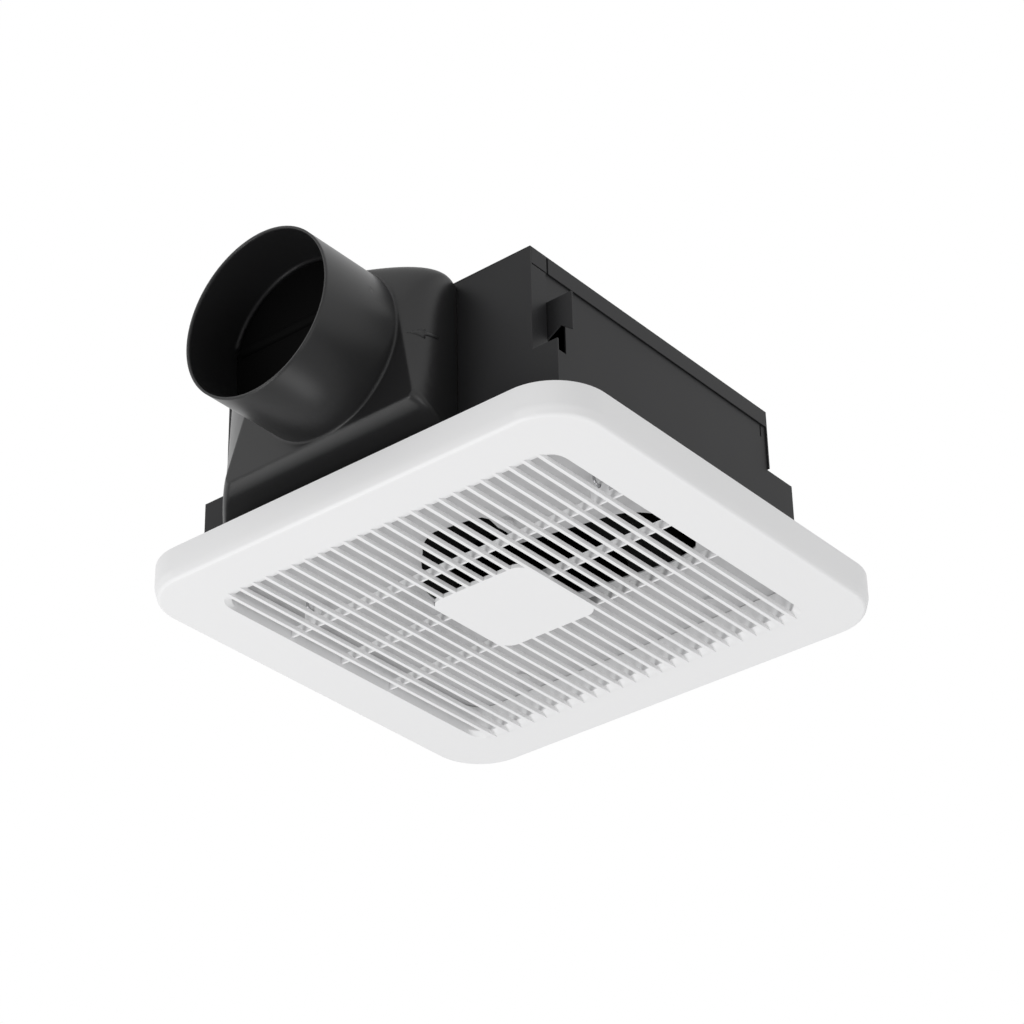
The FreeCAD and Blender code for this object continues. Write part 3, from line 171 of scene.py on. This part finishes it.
# One recipe for moulded and painted finishes, one for zinc sheet, one for drawn steel
reliefDepth = {
    "grain": 0.05 * mm,
    "spangle": 0.05 * mm,
    "drawn": 0.03 * mm,
}
foldSamples = 8


def grainedFinish(name, light, dark, rough, fineScale, bump, broadScale=9.0, specular=0.5, fold=0.0):
    material, tree, shader = newMaterial(name, light, rough[0], specular=specular)
    grain = placeGroup(tree, surfaceGrain, FineScale=fineScale, BroadScale=broadScale)
    colour = blendColours(tree, grain.outputs["Broad"], light, dark)
    tree.links.new(colour, shader.inputs["Base Color"])
    tree.links.new(rangeOf(tree, grain.outputs["Broad"], *rough), shader.inputs["Roughness"])
    relief = bumpFrom(tree, shader, grain.outputs["Fine"], bump, reliefDepth["grain"])
    if fold:
        # Moulded folds and corners catch the light as a soft round
        softFold = setInputs(addNode(tree, "ShaderNodeBevel", samples=foldSamples), Radius=fold)
        tree.links.new(softFold.outputs["Normal"], relief.inputs["Normal"])
    return material


def zincFinish(name, light, dark, rough, cellScale, bump):
    material, tree, shader = newMaterial(name, light, rough[0], metallic=1.0)
    spangle = placeGroup(tree, zincSpangle, CellScale=cellScale)
    colour = blendColours(tree, spangle.outputs["Cell"], light, dark)
    tree.links.new(colour, shader.inputs["Base Color"])
    tree.links.new(rangeOf(tree, spangle.outputs["Cloud"], *rough), shader.inputs["Roughness"])
    bumpFrom(tree, shader, spangle.outputs["Cloud"], bump, reliefDepth["spangle"])
    return material


def drawnFinish(name, light, dark, rough, lineScale, bump):
    material, tree, shader = newMaterial(name, light, rough[0], metallic=1.0)
    drawn = placeGroup(tree, drawnLines, LineScale=lineScale)
    colour = blendColours(tree, drawn.outputs["Cloud"], light, dark)
    tree.links.new(colour, shader.inputs["Base Color"])
    tree.links.new(rangeOf(tree, drawn.outputs["Line"], *rough), shader.inputs["Roughness"])
    bumpFrom(tree, shader, drawn.outputs["Line"], bump, reliefDepth["drawn"])
    return material


finishes = {
    "white_plastic": grainedFinish(
        "whiteMoulding", light=(0.835, 0.835, 0.84), dark=(0.815, 0.815, 0.82),
        rough=(0.42, 0.5), fineScale=1400.0, bump=0.08),
    "dark_paint": grainedFinish(
        "darkSheetPaint", light=(0.019, 0.019, 0.02), dark=(0.016, 0.016, 0.017),
        rough=(0.42, 0.5), fineScale=1100.0, bump=0.12, specular=0.2),
    "black_plastic": grainedFinish(
        "blackMoulding", light=(0.014, 0.014, 0.0145), dark=(0.011, 0.011, 0.0115),
        rough=(0.32, 0.38), fineScale=1600.0, bump=0.06, specular=0.42, fold=2.5 * mm),
    # Painted shade: a black darker than real moulding, so the parts inside the housing read as deep shadow
    "painted_shade_black": grainedFinish(
        "paintedShadeBlackMoulding", light=(0.003, 0.003, 0.003), dark=(0.0025, 0.0025, 0.0025),
        rough=(0.6, 0.7), fineScale=1200.0, bump=0.1, specular=0.03),
    "pale_sheet": grainedFinish(
        "paleSheetPaint", light=(0.58, 0.58, 0.585), dark=(0.55, 0.55, 0.555),
        rough=(0.5, 0.6), fineScale=800.0, bump=0.1, specular=0.3),
    "galvanised_sheet": zincFinish(
        "galvanisedSheet", light=(0.62, 0.63, 0.64), dark=(0.52, 0.53, 0.545),
        rough=(0.4, 0.55), cellScale=130.0, bump=0.05),
    "spring_steel": drawnFinish(
        "springSteel", light=(0.55, 0.55, 0.56), dark=(0.42, 0.42, 0.43),
        rough=(0.2, 0.36), lineScale=900.0, bump=0.1),
    "zinc_steel": zincFinish(
        "zincPlatedSteel", light=(0.66, 0.66, 0.64), dark=(0.55, 0.55, 0.52),
        rough=(0.26, 0.4), cellScale=500.0, bump=0.04),
    "green_screw": drawnFinish(
        "greenDyedSteel", light=(0.05, 0.32, 0.1), dark=(0.03, 0.2, 0.06),
        rough=(0.28, 0.42), lineScale=700.0, bump=0.08),
    "magnet_iron": drawnFinish(
        "laminatedIron", light=(0.2, 0.2, 0.21), dark=(0.13, 0.13, 0.14),
        rough=(0.45, 0.6), lineScale=300.0, bump=0.2),
    "black_rubber": grainedFinish(
        "blackRubber", light=(0.022, 0.022, 0.022), dark=(0.03, 0.03, 0.03),
        rough=(0.75, 0.88), fineScale=900.0, bump=0.3),
    "pale_nylon": grainedFinish(
        "paleNylon", light=(0.74, 0.72, 0.64), dark=(0.68, 0.66, 0.58),
        rough=(0.4, 0.5), fineScale=1300.0, bump=0.1),
    "board_laminate": grainedFinish(
        "boardLaminate", light=(0.02, 0.16, 0.055), dark=(0.015, 0.12, 0.045),
        rough=(0.3, 0.42), fineScale=700.0, bump=0.25, broadScale=60.0),
    "capacitor_sleeve": grainedFinish(
        "capacitorSleeve", light=(0.02, 0.022, 0.05), dark=(0.016, 0.018, 0.04),
        rough=(0.22, 0.32), fineScale=900.0, bump=0.06),
}
print("finishes made:", len(finishes))

# Each node takes its slot's finish, apart from the parts inside the housing, which take a near-black that
# paints their shade, and the coated screws
slotOf = {row["node"]: row["material_slot"] for row in frame["record"]["subparts"]}
finishOf = dict(slotOf)
for shadePaintedNode in ("scroll_casing", "impeller", "damper_flap", "damper_pin"):
    finishOf[shadePaintedNode] = "painted_shade_black"
for coatedNode in ("plate_screws", "blower_screws"):
    finishOf[coatedNode] = "pale_sheet"
for name, node in nodes.items():
    node.data.materials.clear()
    node.data.materials.append(finishes[finishOf[name]])


# Mesh helpers: edges sharper than shadeAngle degrees stay crisp on smooth pieces
shadeAngle = 34.0


def vertsOf(found):
    return [item for item in found["geom"] if isinstance(item, bmesh.types.BMVert)]


def pieceFrom(shape, name, finish, smooth):
    mesh = bpy.data.meshes.new(name)
    for face in shape.faces:
        face.smooth = smooth
    shape.to_mesh(mesh)
    shape.free()
    if smooth:
        mesh.set_sharp_from_angle(angle=math.radians(shadeAngle))
    mesh.materials.append(finish)
    piece = bpy.data.objects.new(name, mesh)
    bpy.context.scene.collection.objects.link(piece)
    return piece


# The wall round the louvres comes up close under the inlet plate, except at the front screws, in millimetres
fieldWall = {
    "top": -3.4,
    "lift": 2.0,
    "rounding": 0.35,
    "slack": 0.05,
    "frontEnd": -95.0,
}


def raiseFieldWall(shape):
    low = (fieldWall["top"] - fieldWall["rounding"]) * mm
    high = (fieldWall["top"] + fieldWall["slack"]) * mm
    for vert in shape.verts:
        if low < vert.co.z < high and vert.co.y > fieldWall["frontEnd"] * mm:
            vert.co.z += fieldWall["lift"] * mm


# The collar's wall thins at its mouth, and its upper damper stop shows as a fine line, in millimetres
collarInside = {
    "axisX": -1.8,
    "axisZ": 68.8,
    "bore": 47.3,
    "slack": 0.02,
    "stopFront": -172.6,
    "stopBack": -170.6,
    "stopShare": 0.35,
    "rounding": 0.65,
    "mouth": -205.0,
    "mouthReach": 48.2,
    "mouthFlare": 0.75,
}


def refineCollar(shape):
    centre = Vector((collarInside["axisX"] * mm, 0.0, collarInside["axisZ"] * mm))
    bore = collarInside["bore"] * mm
    insideBore = bore - collarInside["slack"] * mm
    rounding = collarInside["rounding"] * mm
    stopFront = collarInside["stopFront"] * mm - rounding
    stopBack = collarInside["stopBack"] * mm + rounding
    mouthEnd = collarInside["mouth"] * mm + rounding
    for vert in shape.verts:
        along = Vector((0.0, vert.co.y, 0.0))
        spoke = vert.co - centre - along
        reach = spoke.length
        wanted = reach
        if stopFront < along.y < stopBack and reach < insideBore:
            wanted = bore - (bore - reach) * collarInside["stopShare"]
        elif along.y < mouthEnd and reach < collarInside["mouthReach"] * mm:
            wanted = reach + collarInside["mouthFlare"] * mm
        vert.co = centre + along + spoke * (wanted / reach)


# Edges of the inlet opening's lobes, as degrees and reach round each lobe's far centre, in millimetres
inletLobes = [
    {
        "centre": (-1.0, -31.0),
        "radius": 34.0,
        "edgeBand": 0.5,
        "outline": [
            (-165.0, 31.0), (-157.0, 30.4), (-131.0, 28.8), (-105.0, 32.7), (-90.0, 34.8),
            (-75.0, 34.6), (-60.0, 37.2), (-43.0, 42.4), (-31.0, 33.4), (12.0, 24.0),
        ],
    },
    {
        "centre": (71.0, 10.0),
        "radius": 31.5,
        "edgeBand": 0.5,
        "outline": [
            (-90.0, 28.9), (-81.0, 28.4), (-59.0, 29.5), (-46.0, 30.1),
            (0.0, 32.3), (51.0, 37.4), (67.0, 34.9), (97.0, 33.0),
        ],
    },
]


def shapeInletLobes(shape):
    for lobe in inletLobes:
        centre = Vector(lobe["centre"]) * mm
        rim = lobe["radius"] * mm
        steps = list(zip(lobe["outline"], lobe["outline"][1:]))
        for vert in shape.verts:
            spoke = vert.co.xy - centre
            if abs(spoke.length - rim) > lobe["edgeBand"] * mm:
                continue
            angle = math.degrees(math.atan2(spoke.y, spoke.x))
            for (startAngle, startReach), (endAngle, endReach) in steps:
                if startAngle <= angle < endAngle:
                    share = (angle - startAngle) / (endAngle - startAngle)
                    grow = (startReach + (endReach - startReach) * share) * mm - rim
                    vert.co.xy += spoke.normalized() * grow


# CAD nodes with their sharp edges broken, as a moulded or folded edge is, in millimetres and degrees
edgeBreaks = {
    # node: piece, width, segments, further shaping
    "grille": ("grilleMoulding", 0.3, 2, raiseFieldWall),
    "housing_wrapper": ("housingSheet", 0.35, 2, None),
    "duct_wall": ("ductWallSheet", 0.35, 2, None),
    "side_wall_left": ("leftSheet", 0.25, 2, None),
    "side_wall_right": ("rightSheet", 0.25, 2, None),
    "duct_adapter": ("adapterMoulding", 0.6, 3, refineCollar),
    "inlet_plate": ("inletSheet", 0.2, 2, shapeInletLobes),
}
edgeFinding = {
    "mergeGap": 0.002,
    "flatAngle": 0.6,
    "sharpAngle": 28.0,
}
bodies = frame["record"]["behaviour"]["bodies"]


def softEdgedCopy(nodeName, pieceName, width, segments, reshape):
    mergeGap = edgeFinding["mergeGap"] * mm
    flatAngle = math.radians(edgeFinding["flatAngle"])
    sharpAngle = math.radians(edgeFinding["sharpAngle"])
    shape = bmesh.new()
    shape.from_mesh(nodes[nodeName].data)
    bmesh.ops.remove_doubles(shape, verts=shape.verts, dist=mergeGap)
    bmesh.ops.dissolve_limit(
        shape, angle_limit=flatAngle, verts=shape.verts, edges=shape.edges, delimit=set())
    sharp = [
        edge for edge in shape.edges
        if len(edge.link_faces) == 2 and edge.calc_face_angle(0.0) > sharpAngle
    ]
    bmesh.ops.bevel(
        shape, geom=sharp, offset=width, offset_type="OFFSET", segments=segments, profile=0.5,
        affect="EDGES", clamp_overlap=True, material=-1)
    bmesh.ops.remove_doubles(shape, verts=shape.verts, dist=mergeGap)
    if reshape:
        reshape(shape)
    piece = pieceFrom(shape, pieceName, finishes[finishOf[nodeName]], smooth=True)
    evenNormals = piece.modifiers.new("evenNormals", "WEIGHTED_NORMAL")
    evenNormals.keep_sharp = True
    body = next(name for name, members in bodies.items() if nodeName in members)
    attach(piece, body)
    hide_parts(nodeName)
    return piece


for nodeName, (pieceName, width, segments, reshape) in edgeBreaks.items():
    made = softEdgedCopy(nodeName, pieceName, width * mm, segments, reshape)
    print("edges broken:", pieceName, len(made.data.polygons), "faces")


# Moulded airflow arrow on the adapter's side, pointing out along the duct, in millimetres
arrowMark = {
    "outline": [
        (-150.0, 59.6), (-142.5, 56.8), (-142.5, 59.0), (-134.0, 59.8),
        (-134.0, 61.8), (-142.5, 61.2), (-142.5, 63.4),
    ],
    "start": 90.0,
    "cuts": 3,
    "rise": 0.25,
    "sink": 0.4,
}


def buildArrowMark():
    side = bmesh.new()
    side.from_mesh(nodes["duct_adapter"].data)
    surface = BVHTree.FromBMesh(side)
    side.free()
    shape = bmesh.new()
    corners = [Vector((arrowMark["start"], along, up)) * mm for along, up in arrowMark["outline"]]
    shape.faces.new([shape.verts.new(corner) for corner in corners])
    bmesh.ops.subdivide_edges(shape, edges=shape.edges, cuts=arrowMark["cuts"])
    bmesh.ops.triangulate(shape, faces=shape.faces)
    for vert in shape.verts:
        touch = surface.ray_cast(vert.co, Vector((-1.0, 0.0, 0.0)))[0]
        vert.co = touch - Vector((arrowMark["sink"] * mm, 0.0, 0.0))
    grown = bmesh.ops.extrude_face_region(shape, geom=shape.faces[:], use_keep_orig=True)
    height = (arrowMark["rise"] + arrowMark["sink"]) * mm
    bmesh.ops.translate(shape, verts=vertsOf(grown), vec=(height, 0.0, 0.0))
    bmesh.ops.recalc_face_normals(shape, faces=shape.faces)
    arrow = pieceFrom(shape, "airflowArrow", finishes["black_plastic"], smooth=False)
    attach(arrow, "frame")


buildArrowMark()
print("airflow arrow moulded")


# Sloping web that closes the adapter's roof behind the top of the collar, in millimetres
collarWeb = {
    "reach": 49.2,
    "halfAngle": 27.0,
    "steps": 24,
    "front": -151.5,
    # place along the duct, share of the way down, least height
    "rows": [(-148.5, 0.4, 113.5), (-144.0, 1.0, 109.4)],
    "backHeight": 109.4,
    "thickness": 1.2,
}


def buildCollarWeb():
    centre = Vector((collarInside["axisX"], collarWeb["front"], collarInside["axisZ"])) * mm
    lean = Matrix.Rotation(math.radians(-collarWeb["halfAngle"]), 3, "Y")
    shape = bmesh.new()
    start = shape.verts.new(centre + lean @ Vector((0.0, 0.0, collarWeb["reach"] * mm)))
    bmesh.ops.spin(
        shape, geom=[start], cent=centre, axis=(0.0, 1.0, 0.0),
        angle=math.radians(2 * collarWeb["halfAngle"]), steps=collarWeb["steps"], use_merge=False)
    ends = shape.edges[:]
    for along, share, least in collarWeb["rows"]:
        grown = bmesh.ops.extrude_edge_only(shape, edges=ends)
        row = vertsOf(grown)
        ends = [
            item for item in grown["geom"]
            if isinstance(item, bmesh.types.BMEdge) and set(item.verts) <= set(row)
        ]
        for vert in row:
            drop = (vert.co.z - collarWeb["backHeight"] * mm) * share
            vert.co.y = along * mm
            vert.co.z = max(vert.co.z - drop, least * mm)
    under = bmesh.ops.extrude_face_region(shape, geom=shape.faces[:], use_keep_orig=True)
    bmesh.ops.translate(shape, verts=vertsOf(under), vec=(0.0, 0.0, -collarWeb["thickness"] * mm))
    bmesh.ops.recalc_face_normals(shape, faces=shape.faces)
    web = pieceFrom(shape, "collarWeb", finishes["black_plastic"], smooth=True)
    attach(web, "frame")


buildCollarWeb()
print("collar web moulded")


# Studio: pale floor far below, white surround, soft lamps and the camera
floorLook = {
    "drop": 2.2,
    "size": 9.0,
    "light": (0.82, 0.82, 0.82),
    "dark": (0.8, 0.8, 0.8),
    "rough": (0.8, 0.9),
    "fineScale": 40.0,
    "bump": 0.02,
}


def buildFloor():
    shape = bmesh.new()
    bmesh.ops.create_grid(shape, x_segments=1, y_segments=1, size=floorLook["size"] / 2)
    bmesh.ops.translate(shape, verts=shape.verts, vec=(0, 0, -floorLook["drop"]))
    finish = grainedFinish(
        "paleFloor", floorLook["light"], floorLook["dark"], floorLook["rough"],
        floorLook["fineScale"], floorLook["bump"])
    floor = pieceFrom(shape, "studioFloor", finish, smooth=False)


# The surround lights the fan with the ambient strength and shows the backdrop strength
surround = {
    "colour": (1.0, 1.0, 1.0, 1.0),
    "ambient": 0.6,
    "backdrop": 1.0,
}


def buildWorld():
    world = bpy.data.worlds.new("studioWorld")
    bpy.context.scene.world = world
    world.use_nodes = True
    tree = world.node_tree
    tree.nodes.clear()
    rays = addNode(tree, "ShaderNodeLightPath")
    seen = addNode(tree, "ShaderNodeMath", operation="MAXIMUM")
    tree.links.new(rays.outputs["Is Camera Ray"], seen.inputs[0])
    tree.links.new(rays.outputs["Is Glossy Ray"], seen.inputs[1])
    clear = addNode(tree, "ShaderNodeMath", operation="MAXIMUM")
    tree.links.new(seen.outputs[0], clear.inputs[0])
    tree.links.new(rays.outputs["Is Transmission Ray"], clear.inputs[1])
    choose = addNode(tree, "ShaderNodeMixShader")
    tree.links.new(clear.outputs[0], choose.inputs[0])
    for place, strength in ((1, surround["ambient"]), (2, surround["backdrop"])):
        shade = setInputs(
            addNode(tree, "ShaderNodeBackground"), Color=surround["colour"], Strength=strength)
        tree.links.new(shade.outputs[0], choose.inputs[place])
    output = addNode(tree, "ShaderNodeOutputWorld")
    tree.links.new(choose.outputs[0], output.inputs["Surface"])


lamps = [
    # name, place, size, power
    ("ductLow", (-0.5, -1.3, -1.0), 0.8, 10.0),
    ("leftUnder", (-0.95, -0.05, -1.3), 0.6, 3.0),
    ("rightUnder", (1.3, -0.2, -1.0), 0.8, 5.2),
    ("rearUnder", (0.0, 0.95, -1.25), 0.5, 2.2),
]


def buildLamps():
    for name, place, size, power in lamps:
        light = bpy.data.lights.new(name, "AREA")
        light.shape = "DISK"
        light.size = size
        light.energy = power
        lamp = bpy.data.objects.new(name, light)
        lamp.location = place
        lamp.rotation_mode = "QUATERNION"
        lamp.rotation_quaternion = (-Vector(place)).to_track_quat("-Z", "Y")
        bpy.context.scene.collection.objects.link(lamp)


photoView = {
    "azimuth": 38.7402,  # degrees round the fan, 0 looks along +Y
    "elevation": -31.0387,  # the camera stands below the ceiling plane
    "roll": -1.2752,
    "lens": 106.997,
    "sensorWidth": 36.0,
    "clipStart": 0.05,
    "clipEnd": 50.0,
    "distance": 1662.35 * mm,
    "aimAcross": -0.956 * mm,
    "aimUp": 35.162 * mm,
}


def buildCamera():
    azimuth, elevation, roll = (math.radians(photoView[key]) for key in ("azimuth", "elevation", "roll"))
    back = Vector((
        math.sin(azimuth) * math.cos(elevation),
        -math.cos(azimuth) * math.cos(elevation),
        math.sin(elevation),
    ))
    level = Vector((math.cos(azimuth), math.sin(azimuth), 0.0))
    upright = level.cross(-back)
    across = level * math.cos(roll) + upright * math.sin(roll)
    up = upright * math.cos(roll) - level * math.sin(roll)
    place = back * photoView["distance"] + across * photoView["aimAcross"] + up * photoView["aimUp"]
    data = bpy.data.cameras.new("photoCamera")
    data.lens = photoView["lens"]
    data.sensor_width = photoView["sensorWidth"]
    data.clip_start = photoView["clipStart"]
    data.clip_end = photoView["clipEnd"]
    camera = bpy.data.objects.new("photoCamera", data)
    turn = Matrix((across, up, back)).transposed()
    camera.matrix_world = Matrix.Translation(place) @ turn.to_4x4()
    bpy.context.scene.collection.objects.link(camera)
    bpy.context.scene.camera = camera


buildFloor()
buildWorld()
buildLamps()
buildCamera()
bpy.context.scene.view_settings.view_transform = "Standard"
print("studio ready")
